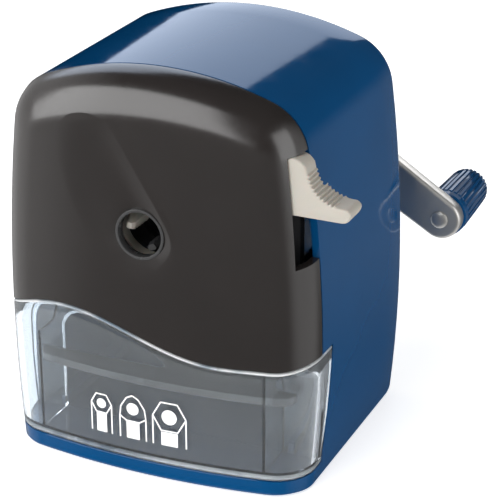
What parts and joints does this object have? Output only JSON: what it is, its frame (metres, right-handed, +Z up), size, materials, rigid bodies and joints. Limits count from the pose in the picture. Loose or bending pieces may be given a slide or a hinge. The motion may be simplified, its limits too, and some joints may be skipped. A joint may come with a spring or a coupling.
{
  "type": "crank pencil sharpener",
  "caption": "Free-standing hand-crank pencil sharpener: planetary helical cutter, three-jaw pencil chuck with side lever, and pull-out shavings drawer.",
  "frame": {"origin": "on the underside of the base, under the middle of the body", "axes": "+X to the user's right (lever side), +Y from the pencil hole to the crank, +Z up"},
  "size_m": [0.1076, 0.1218, 0.1155],
  "materials": {
    "blue_plastic": "glossy moulded",
    "charcoal_plastic": "satin moulded",
    "clear_plastic": "clear moulded",
    "ivory_plastic": "satin moulded",
    "black_plastic": "moulded",
    "grey_plastic": "moulded",
    "steel": "bright plated sheet",
    "cutter_steel": "ground",
    "bronze": "sintered",
    "rubber": "soft"
  },
  "bodies": {
    "body": {"housing": "blue_plastic", "front_cover": "charcoal_plastic", "pencil_guide_ring": "charcoal_plastic", "mechanism_frame": "grey_plastic", "frame_screw_1": "steel", "frame_screw_2": "steel", "frame_screw_3": "steel", "frame_screw_4": "steel", "chuck_base": "black_plastic", "ring_gear": "grey_plastic", "gear_plate": "grey_plastic", "plate_screw_1": "steel", "plate_screw_2": "steel", "carrier_bush": "bronze", "crank_bush": "bronze", "rubber_foot_1": "rubber", "rubber_foot_2": "rubber", "rubber_foot_3": "rubber", "rubber_foot_4": "rubber", "lever_spring": "steel"},
    "crank": {"crank_shaft": "steel", "crank_gear": "steel", "crank_arm": "steel", "arm_screw": "steel", "knob_rivet": "steel"},
    "knob": {"knob": "blue_plastic"},
    "carrier": {"cutter_carrier": "grey_plastic", "carrier_gear": "black_plastic", "cutter_axle": "steel"},
    "cutter": {"helical_cutter": "cutter_steel", "cutter_pinion": "black_plastic"},
    "lever": {"clamp_lever": "ivory_plastic"},
    "jaw_left": {"jaw_left": "ivory_plastic"},
    "jaw_lower": {"jaw_lower": "black_plastic"},
    "jaw_upper": {"jaw_upper": "black_plastic"},
    "drawer": {"shavings_drawer": "clear_plastic"}
  },
  "joints": [
    {"name": "crank_spin", "type": "hinge", "parent": "body", "child": "crank", "pos_m": [0, 0.0379, 0.085], "axis": [0, 1, 0], "continuous": true},
    {"name": "carrier_spin", "type": "hinge", "parent": "body", "child": "carrier", "pos_m": [0, 0, 0.0714], "axis": [0, 1, 0], "continuous": true},
    {"name": "cutter_spin", "type": "hinge", "parent": "carrier", "child": "cutter", "pos_m": [0, 0.00633, 0.07938], "axis": [0, 0.9799, -0.1994], "continuous": true},
    {"name": "knob_spin", "type": "hinge", "parent": "crank", "child": "knob", "pos_m": [0.0538, 0.06, 0.0512], "axis": [0, 1, 0], "continuous": true},
    {"name": "lever_press", "type": "hinge", "parent": "body", "child": "lever", "pos_m": [0, -0.03, 0.0714], "axis": [0, 1, 0], "range_deg": [0, 15], "stiffness_Nm_per_rad": 0.25, "springref_deg": -20.05, "deforming": ["lever_spring"]},
    {"name": "jaw_left_slide", "type": "slide", "parent": "body", "child": "jaw_left", "axis": [-0.9903, 0, 0.1392], "range_m": [0, 0.0024]},
    {"name": "jaw_lower_slide", "type": "slide", "parent": "body", "child": "jaw_lower", "axis": [0.3746, 0, -0.9272], "range_m": [0, 0.0024]},
    {"name": "jaw_upper_slide", "type": "slide", "parent": "body", "child": "jaw_upper", "axis": [0.6157, 0, 0.788], "range_m": [0, 0.0024]},
    {"name": "drawer_slide", "type": "slide", "parent": "body", "child": "drawer", "axis": [0, -1, 0], "range_m": [0, 0.055]}
  ],
  "couplings": [
    {"joint": "carrier_spin", "follows": "crank_spin", "ratio": -1.2667},
    {"joint": "cutter_spin", "follows": "crank_spin", "ratio": 3.8},
    {"joint": "jaw_left_slide", "follows": "lever_press", "m_per_rad": 0.0088},
    {"joint": "jaw_lower_slide", "follows": "lever_press", "m_per_rad": 0.0088},
    {"joint": "jaw_upper_slide", "follows": "lever_press", "m_per_rad": 0.0088}
  ]
}
